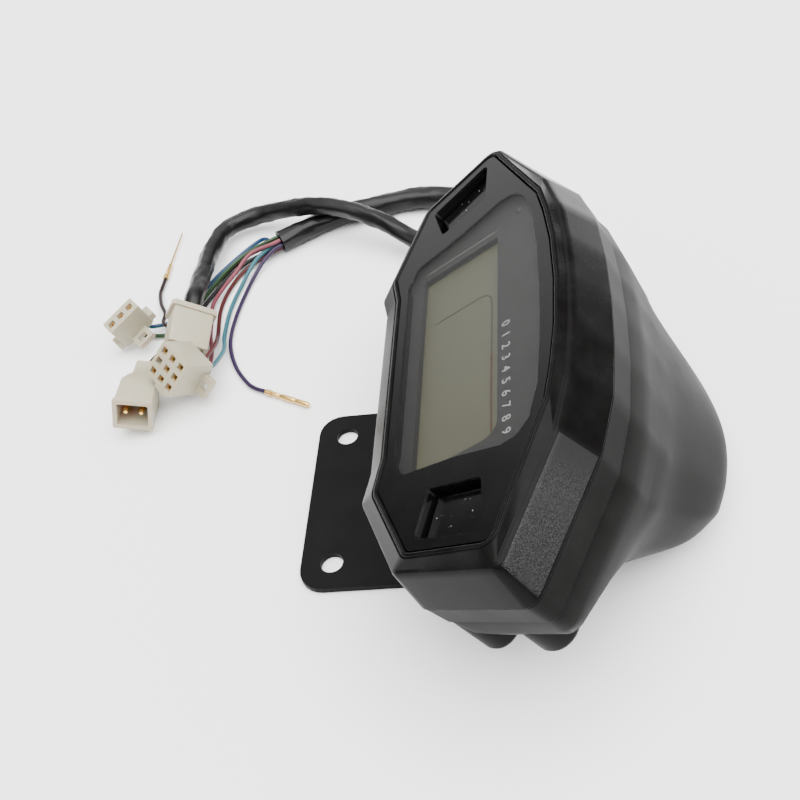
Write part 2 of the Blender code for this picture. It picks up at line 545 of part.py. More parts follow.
def connector(name, spec, cells, extras, shroud=0.0, blanks=()):
    """A nylon housing with its contacts: sockets in blind cells, or pins in an open shroud.

    extras are boxes joined to the housing (True) or cut out of it (False), as centre and size."""
    place, facing, across, sections = spec
    matrix = frame_at(place, facing, across)
    length = sections[-1][0]
    housing = loft("conn_" + name, [rectangle_ring(x, y, along) for along, x, y in sections], "nylon", None,
                   matrix=matrix)
    for index, (joined, centre, size) in enumerate(extras):
        extra = block("%s_detail_%d" % (name, index), size, centre, None, matrix=matrix, collection=cutters)
        apply_boolean(housing, extra, "UNION" if joined else "DIFFERENCE")
    if shroud:
        inside = [(half - SHROUD_WALL) * 2 for half in sections[-1][1:]]
        mouth = block("shroud_" + name, (*inside, shroud * 2), (0, 0, length), None, matrix=matrix,
                      collection=cutters)
        apply_boolean(housing, mouth, "DIFFERENCE")
    fitted = [place for place in cells if place not in blanks]
    for column, row in cells:
        x, y = column * CELL, row * CELL
        label = "%s_%d_%d" % (name, column, row)
        number = fitted.index((column, row)) + 1 if (column, row) in fitted else 0
        if shroud:
            pin = turned("pin_%s_%d" % (name, number), PIN_PROFILE, (0, 0, 0), (0, 0, 1), "brass", 12)
            pin.matrix_basis = matrix @ Matrix.Translation(Vector((x, y, length - shroud + GAP)) * MM)
            continue
        hollow = CONTACT + 2 * GAP
        cell = block("cell_" + label, (hollow, hollow, 2 * CELL_DEPTH), (x, y, length), None, matrix=matrix,
                     collection=cutters)
        apply_boolean(housing, cell, "DIFFERENCE")
        if number:
            block("contact_%s_%d" % (name, number), (CONTACT, CONTACT, CONTACT_LENGTH),
                  (x, y, length - CELL_DEPTH + CONTACT_LENGTH / 2 + GAP), "brass", matrix=matrix)
    return matrix


PIN_PROFILE = [(0, 1.15), (8.8, 1.15), (9.8, 0.7)]
SQUARE = [(column, row) for row in (-1, 0, 1) for column in (-1, 0, 1)]
places = {
    "nine": connector("nine", NINE_WAY, SQUARE, [
        (True, (-0.8, -9.4, 1.5), (8.0, 5.6, 2.4)), (False, (-0.8, -9.8, 1.5), (3.4, 3.2, 6.0)),
        (True, (-8.0, -2.0, 7.6), (1.8, 6.0, 13.6))], blanks=((0, 1),)),
    "three": connector("three", THREE_WAY, [(-1, 0), (0, 0), (1, 0)], [
        (True, (0, 0, 2.6), (19.2, 5.4, 3.0)),
        (True, (0, -6.0, 1.4), (7.6, 7.0, 2.2)), (False, (0, -6.6, 1.4), (3.8, 3.2, 6.0))]),
    "two": connector("two", TWO_WAY, [(-0.6, 0), (0.6, 0)], [], shroud=12.0),
    "six": connector("six", SIX_WAY, [], [(True, (0, 0, 1.3), (18.0, 12.0, 2.2))], shroud=9.0),
}


def back_end(key, cell, reach):
    """A point reach (mm) behind a housing's wire end, at one cell, in millimetres."""
    return places[key] @ Vector((cell[0] * CELL * MM, cell[1] * CELL * MM, -reach * MM)) / MM


def fan_start(angle):
    side = Vector((MOUTH_AXIS.y, -MOUTH_AXIS.x, 0)) * -1
    offset = Vector((0, 0, 0))
    if angle is not None:
        offset = (side * math.cos(math.radians(angle)) + Vector((0, 0, 1)) * math.sin(math.radians(angle)))
    return MOUTH + MOUTH_AXIS * GAP + offset * FAN_RADIUS


NECKS = {"two": 9.0}            # how far a housing reaches behind its origin
end_a, way_a = outlet_end(GROMMET_A)
end_b, way_b = outlet_end(GROMMET_B)
tube("sheath_a", [end_a, end_a + way_a * 6] + ROUTE_A, SHEATH_A_RADIUS, "vinyl", 14.0, 3)
tube("sheath_b", [end_b, end_b + way_b * 5] + ROUTE_B + [back_end("six", (0, 0), 7),
                                                         back_end("six", (0, 0), GAP)],
     SHEATH_B_RADIUS, "vinyl", 11.0, 3)
for colour, angle, route, key, cell in WIRES:
    start = fan_start(angle)
    tail = NECKS.get(key, 0.0) + GAP
    points = [start, start + MOUTH_AXIS * 3] + route
    points += [back_end(key, cell, tail + 3), back_end(key, cell, tail)]
    tube("wire_" + colour, points, WIRE_RADIUS, colour, 4.6)
for colour, (angle, route) in (("violet", VIOLET), ("brown", BROWN)):
    start = fan_start(angle)
    tube("wire_" + colour, [start, start + MOUTH_AXIS * 3] + route, WIRE_RADIUS, colour, 4.6)
BULLET = [(0, 1.15), (3.2, 1.15), (3.6, 0.9), (6.0, 0.9), (6.4, 1.05), (19.0, 1.05), (20.0, 0.7)]
PIN = [(0, 1.15), (3.0, 1.15), (3.4, 0.9), (9.0, 0.9), (10.0, 0.45), (31.0, 0.35), (32.0, 0.2)]
for name, route, profile in (("terminal_violet", VIOLET[1], BULLET), ("terminal_brown", BROWN[1], PIN)):
    way = (Vector(route[-1]) - Vector(route[-2])).normalized()
    way.z = 0.0
    turned(name, profile, Vector(route[-1]) + way * GAP, way, "brass", 12)
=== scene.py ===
"""Looks of a motorcycle instrument cluster: a digital display with two push buttons, on a bracket,
with its wiring harness laid out beside it. Lengths named here are millimetres unless they say otherwise.
"""
import math

import bmesh
import bpy
from mathutils import Matrix, Vector, noise


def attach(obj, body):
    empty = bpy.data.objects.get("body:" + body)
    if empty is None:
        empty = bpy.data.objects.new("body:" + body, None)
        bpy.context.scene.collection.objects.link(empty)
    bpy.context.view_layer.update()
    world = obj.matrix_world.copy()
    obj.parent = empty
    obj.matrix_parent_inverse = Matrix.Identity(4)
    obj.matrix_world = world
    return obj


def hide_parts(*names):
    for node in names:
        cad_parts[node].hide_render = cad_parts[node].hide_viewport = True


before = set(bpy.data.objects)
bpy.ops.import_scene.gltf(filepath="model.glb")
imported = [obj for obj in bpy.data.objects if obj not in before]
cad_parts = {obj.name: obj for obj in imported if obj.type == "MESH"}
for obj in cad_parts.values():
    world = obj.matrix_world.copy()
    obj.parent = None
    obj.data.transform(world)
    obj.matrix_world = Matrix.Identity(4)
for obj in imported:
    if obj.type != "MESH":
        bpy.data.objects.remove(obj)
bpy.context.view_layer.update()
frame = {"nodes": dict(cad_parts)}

# ---- Camera: stands on the rider's right and looks down on the cluster, rolled so that the display stands
# upright in the frame.
MM = 0.001
camera = bpy.data.objects.new("camera", bpy.data.cameras.new("camera"))
camera.data.lens = 51.75
camera.data.sensor_width = 36.0
camera.data.clip_start = 0.01
CAMERA_RIGHT = Vector((-0.0606, 0.9797, -0.1909))
CAMERA_UP = Vector((-0.7178, 0.0901, 0.6904))
CAMERA_BACK = Vector((0.6936, 0.1788, 0.6978))
CAMERA_PLACE = Vector((241.5, 63.2, 287.7))
turn = Matrix((CAMERA_RIGHT, CAMERA_UP, CAMERA_BACK)).transposed().to_4x4()
camera.matrix_world = Matrix.Translation(CAMERA_PLACE * MM) @ turn
bpy.context.scene.collection.objects.link(camera)
bpy.context.scene.camera = camera

# ---- Studio: a wide floor of pale paper under a broad light overhead, with a soft sun, a glow on the left,
# a smaller one behind, and a little light from everywhere.
FLOOR_HALF = 40.0               # metres, so that its edge is never in view
FLOOR_DROP = 0.4
floor_corners = [(x * FLOOR_HALF, y * FLOOR_HALF, 0) for x, y in ((-1, -1), (1, -1), (1, 1), (-1, 1))]
floor_mesh = bpy.data.meshes.new("floor")
floor_mesh.from_pydata(floor_corners, [], [(0, 1, 2, 3)])
floor = bpy.data.objects.new("floor", floor_mesh)
floor.location.z = -FLOOR_DROP * MM
bpy.context.scene.collection.objects.link(floor)
paper = bpy.data.materials.new("paper")
paper.use_nodes = True
paper.node_tree.nodes["Principled BSDF"].inputs["Base Color"].default_value = (0.93, 0.93, 0.93, 1)
paper.node_tree.nodes["Principled BSDF"].inputs["Roughness"].default_value = 0.9
floor.data.materials.append(paper)

world = bpy.data.worlds.new("studio")
world.use_nodes = True
sky, sky_links = world.node_tree.nodes, world.node_tree.links
sky_way = sky.new("ShaderNodeTexCoord")


def glow(way, start, end, strength):
    """Light from the directions near way, from start to end of their cosine, in a soft edge."""
    aim = sky.new("ShaderNodeVectorMath")
    aim.operation = "DOT_PRODUCT"
    aim.inputs[1].default_value = Vector(way).normalized()
    sky_links.new(sky_way.outputs["Generated"], aim.inputs[0])
    spread = sky.new("ShaderNodeMapRange")
    spread.interpolation_type = "SMOOTHSTEP"
    spread.inputs["From Min"].default_value = start
    spread.inputs["From Max"].default_value = end
    spread.inputs["To Max"].default_value = strength
    sky_links.new(aim.outputs["Value"], spread.inputs["Value"])
    return spread.outputs["Result"]


OVERHEAD = ((0, 0, 1), 0.25, 0.95, 2.6)
LEFT = ((-0.96, -0.2, 0.2), 0.76, 0.97, 1.0)
BEHIND = ((0.13, 0.84, 0.5), 0.9, 0.985, 2.4)
EVERYWHERE = ((0, 0, 1), -2.0, -1.5, 0.14)
total = glow(*OVERHEAD)
for lamp in (LEFT, BEHIND, EVERYWHERE):
    both = sky.new("ShaderNodeMath")
    sky_links.new(total, both.inputs[0])
    sky_links.new(glow(*lamp), both.inputs[1])
    total = both.outputs["Value"]
sky_links.new(total, sky["Background"].inputs["Strength"])
sky["Background"].inputs["Color"].default_value = (1, 1, 1, 1)
bpy.context.scene.world = world

sun = bpy.data.objects.new("sun", bpy.data.lights.new("sun", "SUN"))
sun.data.energy = 6.5
sun.data.angle = math.radians(70)
sun.rotation_euler = (math.radians(-12), math.radians(10), 0)
bpy.context.scene.collection.objects.link(sun)

# ---- Harness sheaths: two soft, slightly crumpled tubes of black vinyl, pushed over the bundles of wires.
# Each leaves the housing through a rubber grommet; one is cut off where its wires fan out, the other runs
# up to the six-way connector.
GAP = 0.3                       # between pieces that meet
OUTLET_AXIS = Vector((-0.76, 0.0, -0.65)).normalized()
FACE_TILT = math.radians(31)
FACE_HEIGHT = 55.3
TO_ROW = Matrix.Translation((0, 0, FACE_HEIGHT * MM)) @ Matrix.Rotation(FACE_TILT, 4, "X")
GROMMET_REACH = 6.5
ROUTE_STEPS = 24
BORE_DEPTH = 5.0


def finish(name, colour, roughness, grain=0.0, grain_size=0.5, metallic=0.0, wear=0.0, stain=0.0,
           specular=0.5, subsurface=0.0, specks=0.0, vary=0.05):
    """A procedural finish: moulding grain as bump, patchy roughness, stain in the colour, and specks."""
    made = bpy.data.materials.new(name)
    made.use_nodes = True
    nodes, links = made.node_tree.nodes, made.node_tree.links
    shader = nodes["Principled BSDF"]
    shader.inputs["Metallic"].default_value = metallic
    shader.inputs["Specular IOR Level"].default_value = specular
    shader.inputs["Subsurface Weight"].default_value = subsurface
    shader.inputs["Subsurface Scale"].default_value = 0.004
    place = nodes.new("ShaderNodeTexCoord")
    broad = nodes.new("ShaderNodeTexNoise")
    broad.inputs["Scale"].default_value = 55.0 + 500 * wear
    broad.inputs["Detail"].default_value = 5.0
    links.new(place.outputs["Object"], broad.inputs["Vector"])
    fine = nodes.new("ShaderNodeTexNoise")
    fine.inputs["Scale"].default_value = 1000.0 / grain_size
    fine.inputs["Detail"].default_value = 2.0
    links.new(place.outputs["Object"], fine.inputs["Vector"])
    patch = nodes.new("ShaderNodeMapRange")
    patch.inputs["From Min"].default_value = 0.3
    patch.inputs["From Max"].default_value = 0.7
    patch.inputs["To Min"].default_value = max(roughness - vary, 0.03)
    patch.inputs["To Max"].default_value = min(roughness + vary, 1.0)
    links.new(broad.outputs["Fac"], patch.inputs["Value"])
    links.new(patch.outputs["Result"], shader.inputs["Roughness"])
    ramp = nodes.new("ShaderNodeValToRGB")
    ramp.color_ramp.elements[0].position = 0.35
    ramp.color_ramp.elements[0].color = (*[c * (1 - stain) for c in colour], 1)
    ramp.color_ramp.elements[1].position = 0.7
    ramp.color_ramp.elements[1].color = (*[c + (0.5 - c) * wear * 0.06 for c in colour], 1)
    links.new(broad.outputs["Fac"], ramp.inputs["Fac"])
    links.new(ramp.outputs["Color"], shader.inputs["Base Color"])
    if specks:
        dots = nodes.new("ShaderNodeValToRGB")
        dots.color_ramp.elements[0].position = 1.0 - specks
        dots.color_ramp.elements[0].color = (*colour, 1)
        dots.color_ramp.elements[1].position = 1.0 - specks * 0.9
        dots.color_ramp.elements[1].color = (0.3, 0.3, 0.29, 1)
        links.new(fine.outputs["Fac"], dots.inputs["Fac"])
        links.new(dots.outputs["Color"], shader.inputs["Base Color"])
    if grain:
        bump = nodes.new("ShaderNodeBump")
        bump.inputs["Strength"].default_value = 0.6
        bump.inputs["Distance"].default_value = grain * MM
        links.new(fine.outputs["Fac"], bump.inputs["Height"])
        links.new(bump.outputs["Normal"], shader.inputs["Normal"])
    return made


def curve_point(a, b, c, d, t):
    """The point a share t of the way from b to c on the Catmull-Rom curve through a, b, c and d."""
    return 0.5 * (2 * b + (c - a) * t + (2 * a - 5 * b + 4 * c - d) * t * t
                  + (3 * b - a - 3 * c + d) * t ** 3)


def smooth_route(points, spacing):
    """Points about spacing apart along a Catmull-Rom curve; the first and last stretches stay straight."""
    route = [Vector(p) for p in points]
    dense = []
    for a, b, c, d in zip(route, route[1:], route[2:], route[3:]):
        dense += [curve_point(a, b, c, d, k / ROUTE_STEPS) for k in range(ROUTE_STEPS)]
    dense.append(route[-2])
    dense = [route[0], route[0].lerp(route[1], 0.5)] + dense + [route[-1].lerp(route[-2], 0.5), route[-1]]
    lengths = [0.0]
    for p, q in zip(dense, dense[1:]):
        lengths.append(lengths[-1] + (q - p).length)
    count = max(2, round(lengths[-1] / spacing))
    made = []
    index = 0
    for k in range(count + 1):
        target = lengths[-1] * k / count
        while index < len(lengths) - 2 and lengths[index + 1] < target:
            index += 1
        span = lengths[index + 1] - lengths[index]
        made.append(dense[index].lerp(dense[index + 1], (target - lengths[index]) / span))
    return made


def skin(name, rings, slots=None, closed=False):
    """Join equal rings of points into one surface; slots(i, k) gives a face's material slot."""
    mesh = bpy.data.meshes.new(name)
    bm = bmesh.new()
    rows = [[bm.verts.new(p * MM) for p in ring] for ring in rings]
    count = len(rows[0])
    pairs = list(zip(rows, rows[1:])) + ([(rows[-1], rows[0])] if closed else [])
    for k, (low, high) in enumerate(pairs):
        for i in range(count):
            j = (i + 1) % count
            face = bm.faces.new((low[i], low[j], high[j], high[i]))
            face.material_index = slots(i, k) if slots else 0
    if not closed:
        bm.faces.new(list(reversed(rows[0])))
        bm.faces.new(rows[-1])
    bmesh.ops.recalc_face_normals(bm, faces=bm.faces)
    bm.to_mesh(mesh)
    bm.free()
    mesh.shade_smooth()
    mesh.set_sharp_from_angle(angle=math.radians(40))
    made = bpy.data.objects.new(name, mesh)
    bpy.context.scene.collection.objects.link(made)
    return made


def hose(name, path, radius, sides, shape=None, slots=None, bore=0.0):
    """A tube along a path: shape(along, angle) scales its radius; bore hollows a share of its far end."""
    rings = []
    side = None
    travelled = 0.0
    for k, here in enumerate(path):
        ahead = (path[min(k + 1, len(path) - 1)] - path[max(k - 1, 0)]).normalized()
        if side is None:
            side = ahead.orthogonal().normalized()
        side = (side - ahead * side.dot(ahead)).normalized()
        over = ahead.cross(side)
        travelled += (here - path[k - 1]).length if k else 0.0
        ring = []
        for i in range(sides):
            angle = 2 * math.pi * i / sides
            reach = radius * (shape(travelled, angle) if shape else 1.0)
            ring.append(here + side * math.cos(angle) * reach + over * math.sin(angle) * reach)
        rings.append(ring)
    if bore:
        for scale, back in ((bore, 0.0), (bore, BORE_DEPTH), (0.3, BORE_DEPTH + 0.5)):
            centre = path[-1] - ahead * back
            rings.append([centre + (p - path[-1]) * scale for p in rings[len(path) - 1]])
    return skin(name, rings, slots)


def outlet_end(centre):
    """The outer end of a cable grommet and its direction, in the row frame."""
    x, v, depth = centre
    place = Vector((x, v, -depth)) + OUTLET_AXIS * (GROMMET_REACH + GAP)
    return TO_ROW @ (place * MM) / MM, TO_ROW.to_3x3() @ OUTLET_AXIS


def settle(piece, looks, body="housing", stands_for=(), on_face=True):
    """Put a piece in place, give it its materials, attach it to its body and hide the parts it stands for.
    """
    for look in looks:
        piece.data.materials.append(look)
    if on_face:
        piece.matrix_world = TO_ROW
    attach(piece, body)
    if stands_for:
        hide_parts(*stands_for)
    return piece


def crumple(seed, strength):
    """Soft folds and a few flats in a vinyl sheath."""
    def shape(along, angle):
        where = Vector((math.cos(angle), math.sin(angle), along * 0.055 + seed))
        fold = noise.noise(where * 1.3) * strength
        crease = noise.noise(Vector((math.cos(angle) * 2, math.sin(angle) * 2, along * 0.3 + seed))) * 0.75
        return 1.0 + fold + crease * strength
    return shape


vinyl = finish("sheath_vinyl", (0.003, 0.003, 0.003), 0.3, grain=0.04, grain_size=0.9, wear=0.06,
               specular=0.22)
SHEATH_A_RADIUS = 4.5
SHEATH_B_RADIUS = 3.7
MOUTH = Vector((-140, -67, 4.8))
MOUTH_AXIS = Vector((0.53, -0.848, 0.0))
ROUTE_A = [(-74.0, 69.5, 8.5), (-96, 66, 4.9), (-122, 50, 4.8), (-145, 28, 4.8), (-156, 8, 4.8),
           (-159, -12, 4.8), (-156.5, -27, 4.8), (-154, -42, 4.8), (-147.5, -55, 4.8), (-140, -67, 4.8)]
ROUTE_B = [(-72, 49.5, 4.8), (-92, 36, 4.2), (-110, 15, 4.6), (-126, -7, 7.5), (-136, -21, 11.5),
           (-144, -36, 14.2), (-149.5, -50, 14.0), (-155.5, -66, 10.0), (-157.5, -80, 7.0), (-151, -92, 6.6),
           (-136, -95.6, 7.6), (-118, -95.2, 10.2)]
end_a, way_a = outlet_end((-52.6, 31.0, 57.0))
end_b, way_b = outlet_end((-51.0, 17.0, 57.0))

path_a = smooth_route([end_a, end_a + way_a * 6] + ROUTE_A, 2.2)
sheath_a = hose("sheath_main", path_a, SHEATH_A_RADIUS, 28, crumple(3.1, 0.15), bore=0.84)
settle(sheath_a, [vinyl], stands_for=["sheath_a"], on_face=False)

# Where each connector lies: the middle of its wire end, the way its mating face looks (its Z), and the way
# its width runs (its X).
NINE_WAY = ((-61.3, -88.5, 10.2), (0.66, -0.37, 0.65), (-0.31, 0.66, 0.69))
THREE_WAY = ((-91.6, -119.6, 5.2), (0.27, -0.18, 0.95), (-0.63, 0.74, 0.24))
TWO_WAY = ((-59.9, -109.4, 6.7), (0.98, 0.09, 0.18), (-0.03, 0.96, -0.28))
SIX_WAY = ((-89.2, -93.4, 14.0), (0.97, -0.03, -0.2), (-0.05, 0.8, -0.6))
CELL = 4.7


def frame_at(spec):
    """The frame of a connector from its place, facing and width."""
    place, facing, across = spec
    z_axis = Vector(facing).normalized()
    x_axis = Vector(across)
    x_axis = (x_axis - z_axis * x_axis.dot(z_axis)).normalized()
    turned = Matrix((x_axis, z_axis.cross(x_axis), z_axis)).transposed().to_4x4()
    return Matrix.Translation(Vector(place) * MM) @ turned


places = {"nine": frame_at(NINE_WAY), "three": frame_at(THREE_WAY), "two": frame_at(TWO_WAY),
          "six": frame_at(SIX_WAY)}


def back_end(key, cell, reach):
    """A point reach behind a housing's origin, at one cell."""
    return places[key] @ Vector((cell[0] * CELL * MM, cell[1] * CELL * MM, -reach * MM)) / MM


path_b = smooth_route([end_b, end_b + way_b * 5] + ROUTE_B + [back_end("six", (0, 0), 7),
                                                             back_end("six", (0, 0), GAP)], 2.0)
sheath_b = hose("sheath_branch", path_b, SHEATH_B_RADIUS, 28, crumple(9.7, 0.15))
settle(sheath_b, [vinyl], stands_for=["sheath_b"], on_face=False)

# ---- Wires: stranded copper in coloured vinyl, 1.7 mm across, fanned out of the sheath's cut end. Six run
# to the connectors and two end in loose crimped terminals.
WIRE_RADIUS = 0.85
FAN_RADIUS = 2.5
NECKS = {"two": 9.0}            # how far a connector reaches behind its own origin
WIRES = [
    ("blue", 154, [(-144, -76, 4.0), (-139, -84, 2.0), (-126, -93.8, 1.0), (-111, -100.4, 1.0),
                   (-101, -105.4, 1.0)], "three", (1, 0)),
    ("green", 103, [(-135.5, -80, 4.9), (-129, -87, 3.6), (-119.3, -92, 3.4), (-109.6, -95.8, 3.3),
                    (-99, -99.4, 3.5), (-92.6, -107, 1.0)], "three", (0, 0)),
    ("pink", 51, [(-133, -79, 5.6), (-124.4, -84.8, 3.2), (-113.4, -89.4, 2.9), (-105, -91.2, 2.9),
                  (-96, -90, 2.9), (-87, -89, 2.6), (-76, -86.4, 2.8)], "nine", (0, -1)),
    ("light_blue", None, [(-131, -76.7, 3.6), (-118, -81.6, 1.2), (-103, -83.9, 1.2), (-87.5, -83.6, 1.6),
                          (-76, -81, 4.4)], "nine", (1, -1)),
    ("red", 308, [(-129, -81, 1.1), (-117, -86.4, 1.0), (-104, -88.2, 1.0), (-89, -86.6, 1.4),
                  (-77.5, -84.2, 6.4)], "nine", (1, 0)),
    ("black", 257, [(-133.5, -81.5, 1.0), (-122, -89.6, 1.0), (-108, -95.8, 1.0), (-94, -101.4, 1.0),
                    (-85, -106.5, 1.6), (-77, -109.4, 3.6)], "two", (0, 0)),
]
VIOLET = (0, [(-130.5, -73.4, 3.0), (-118.5, -78, 1.0), (-99, -80.8, 1.0), (-83.5, -80.6, 1.0),
              (-70, -76.3, 1.0), (-60, -70, 1.0), (-56, -65.5, 1.1), (-54.2, -62, 1.2)])
BROWN = (206, [(-136.5, -82.5, 1.6), (-123, -92.2, 1.0), (-109, -98.6, 1.3), (-101, -101.8, 3.2),
               (-95.5, -103.6, 4.4), (-93.6, -107.2, 4.4), (-97, -110.4, 3.8), (-103, -111.2, 3.2),
               (-111, -115, 2.2), (-120, -117.5, 1.2), (-128, -117.2, 1.2)])
INSULATION = {"blue": (0.001, 0.03, 0.1), "violet": (0.013, 0.002, 0.028), "green": (0.006, 0.035, 0.008),
              "pink": (0.16, 0.035, 0.05), "red": (0.05, 0.0012, 0.0012), "light_blue": (0.02, 0.1, 0.125),
              "black": (0.003, 0.003, 0.003), "brown": (0.009, 0.0018, 0.0014)}
TRACERS = {"green": (0.2, 0.2, 0.03), "blue": (0.004, 0.11, 0.09), "black": (0.03, 0.09, 0.06)}


def fan_start(angle):
    """Where a wire leaves the sheath's mouth, at an angle round the fan (None is its middle)."""
    side = Vector((-MOUTH_AXIS.y, MOUTH_AXIS.x, 0))
    offset = Vector((0, 0, 0))
    if angle is not None:
        offset = side * math.cos(math.radians(angle)) + Vector((0, 0, 1)) * math.sin(math.radians(angle))
    return MOUTH + MOUTH_AXIS * GAP + offset * FAN_RADIUS


def stripe(i, k):
    """The tracer is a thin stripe along two of the wire's twelve sides."""
    return 1 if i in (2, 3) else 0


def wire(colour, points):
    """One insulated wire along its points, with a tracer where its colour has one."""
    path = smooth_route(points, 0.9)
    made = hose("lead_" + colour, path, WIRE_RADIUS, 12, slots=stripe if colour in TRACERS else None)
    looks = [finish("vinyl_" + colour, INSULATION[colour], 0.32, grain=0.02, grain_size=0.6, wear=0.05,
                    stain=0.15, specular=0.3)]
    if colour in TRACERS:
        looks.append(finish("tracer_" + colour, TRACERS[colour], 0.36))
    settle(made, looks, stands_for=["wire_" + colour], on_face=False)


for colour, angle, route, key, cell in WIRES:
    start = fan_start(angle)
    tail = NECKS.get(key, 0.0) + GAP
    points = [start, start + MOUTH_AXIS * 3] + [Vector(p) for p in route]
    points += [back_end(key, cell, tail + 3), back_end(key, cell, tail)]
    wire(colour, points)
for colour, (angle, route) in (("violet", VIOLET), ("brown", BROWN)):
    start = fan_start(angle)
    wire(colour, [start, start + MOUTH_AXIS * 3] + [Vector(p) for p in route])

# ---- Front shell: injection-moulded black plastic. A satin band frames the lens; its slanted upper sides
# are spark-grained; it clips over the middle frame and screws draw the stack together from behind.
SPLIT_DEPTH = 16.0
SEAM_DEPTH = 25.0
WALL = 2.2
LENS_THICK = 2.4
LENS_EDGE = [(33, 1.8, 0), (44, -0.6, 4), (69.8, 12.0, 3), (78.3, 38.3, 3), (42.5, 54.9, 8),
             (32, 57.0, 0), (18, 58.8, 0), (0, 59.5, 0)]
FACE_EDGE = [(33, -7.3, 0), (42.5, -9.8, 4), (72.5, 4.6, 4), (85.5, 38.6, 3), (52, 57.0, 10),
             (35, 61.6, 0), (18, 63.3, 0), (0, 63.9, 0)]
SPLIT_EDGE = [(33, -9.5, 0), (43, -12.0, 4), (75.3, 3.6, 5), (89.6, 39.8, 5), (54, 60.4, 10),
              (36, 65.4, 0), (18, 67.2, 0), (0, 67.7, 0)]


def offset_loop(points, grow):
    """Move each edge of a counter-clockwise polygon outwards by grow and meet the edges again."""
    moved = []
    count = len(points)
    for i in range(count):
        before, here, after = (Vector(points[j % count][:2]) for j in (i - 1, i, i + 1))
        first = (here - before).normalized()
        second = (after - here).normalized()
        out_first = Vector((first.y, -first.x))
        out_second = Vector((second.y, -second.x))
        moved.append(here + (out_first + out_second) / (1 + out_first.dot(out_second)) * grow)
    return moved


def rounded(points, radii, steps=8, between=0):
    """Round each corner that has a radius, and put points between the corners."""
    arcs = []
    count = len(points)
    for i in range(count):
        here, radius = Vector(points[i]), radii[i]
        if radius <= 0:
            arcs.append([here])
            continue
        before = (Vector(points[i - 1]) - here).normalized()
        after = (Vector(points[(i + 1) % count]) - here).normalized()
        half = before.angle(after) / 2
        reach = radius / math.tan(half)
        centre = here + (before + after).normalized() * radius / math.sin(half)
        start = here + before * reach - centre
        end = here + after * reach - centre
        sweep = math.atan2(start.x * end.y - start.y * end.x, start.dot(end))
        arcs.append([centre + Matrix.Rotation(sweep * k / steps, 2) @ start for k in range(steps + 1)])
    made = []
    for arc, following in zip(arcs, arcs[1:] + arcs[:1]):
        made += arc + [arc[-1].lerp(following[0], (k + 1) / (between + 1)) for k in range(between)]
    return made


def outline(half, grow=0.0):
    """A closed outline from its right half, offset by grow."""
    full = half + [(-x, v, r) for x, v, r in reversed(half[:-1])]
    radii = [max(r + grow, 0.8) if r > 0 else 0 for _, _, r in full]
    return rounded(offset_loop(full, grow), radii, between=5)


def level(loop, depth):
    """A loop of the face laid at a depth behind the lens surface."""
    return [Vector((p[0], p[1], -depth)) for p in loop]


def blend(low, high, share):
    """A ring a share of the way from one ring to another."""
    return [p.lerp(q, share) for p, q in zip(low, high)]


def soften(piece, width, segments=2, angle=28):
    """A small radius on every crisp edge."""
    edge = piece.modifiers.new("edge", "BEVEL")
    edge.width = width * MM
    edge.segments = segments
    edge.limit_method = "ANGLE"
    edge.angle_limit = math.radians(angle)
    return piece


SHELL_BLACK = (0.0028, 0.0026, 0.0025)
satin = finish("shell_satin", SHELL_BLACK, 0.26, grain=0.004, grain_size=0.35, wear=0.1, specular=0.05,
               vary=0.03)

# The spark grain is a stronger bump, with lighter flecks painted into its colour as the grain's glints
# (painted highlights); bump and painted glints fade out away from the slanted sides.
sparkle = finish("shell_sparkle", SHELL_BLACK, 0.26, grain=0.09, grain_size=0.34, wear=0.1, specular=0.25,
                 vary=0.03)
grain_tree = sparkle.node_tree
across = grain_tree.nodes.new("ShaderNodeSeparateXYZ")
grain_tree.links.new(grain_tree.nodes["Texture Coordinate"].outputs["Object"], across.inputs[0])
reach = grain_tree.nodes.new("ShaderNodeMath")
reach.operation = "ABSOLUTE"
grain_tree.links.new(across.outputs["X"], reach.inputs[0])
fade = grain_tree.nodes.new("ShaderNodeMapRange")
fade.interpolation_type = "SMOOTHSTEP"
fade.inputs["From Min"].default_value = 0.053
fade.inputs["From Max"].default_value = 0.066
grain_tree.links.new(reach.outputs["Value"], fade.inputs["Value"])
# Painted highlight: lighter flecks in the base colour stand for light glinting off the grain.
painted_glints = grain_tree.nodes.new("ShaderNodeValToRGB")
painted_glints.color_ramp.elements[0].position = 0.42
painted_glints.color_ramp.elements[0].color = (0.0025, 0.0025, 0.0025, 1)
painted_glints.color_ramp.elements[1].position = 0.62
painted_glints.color_ramp.elements[1].color = (0.02, 0.0195, 0.019, 1)
grain_tree.links.new(grain_tree.nodes["Noise Texture.001"].outputs["Fac"], painted_glints.inputs["Fac"])
painted_glint_mix = grain_tree.nodes.new("ShaderNodeMix")
painted_glint_mix.data_type = "RGBA"
painted_glint_mix.inputs["A"].default_value = (*SHELL_BLACK, 1)
grain_tree.links.new(fade.outputs["Result"], painted_glint_mix.inputs["Factor"])
grain_tree.links.new(painted_glints.outputs["Color"], painted_glint_mix.inputs["B"])
grain_tree.links.new(painted_glint_mix.outputs["Result"], grain_tree.nodes["Principled BSDF"].inputs["Base Color"])
grain_tree.links.new(fade.outputs["Result"], grain_tree.nodes["Bump"].inputs["Strength"])

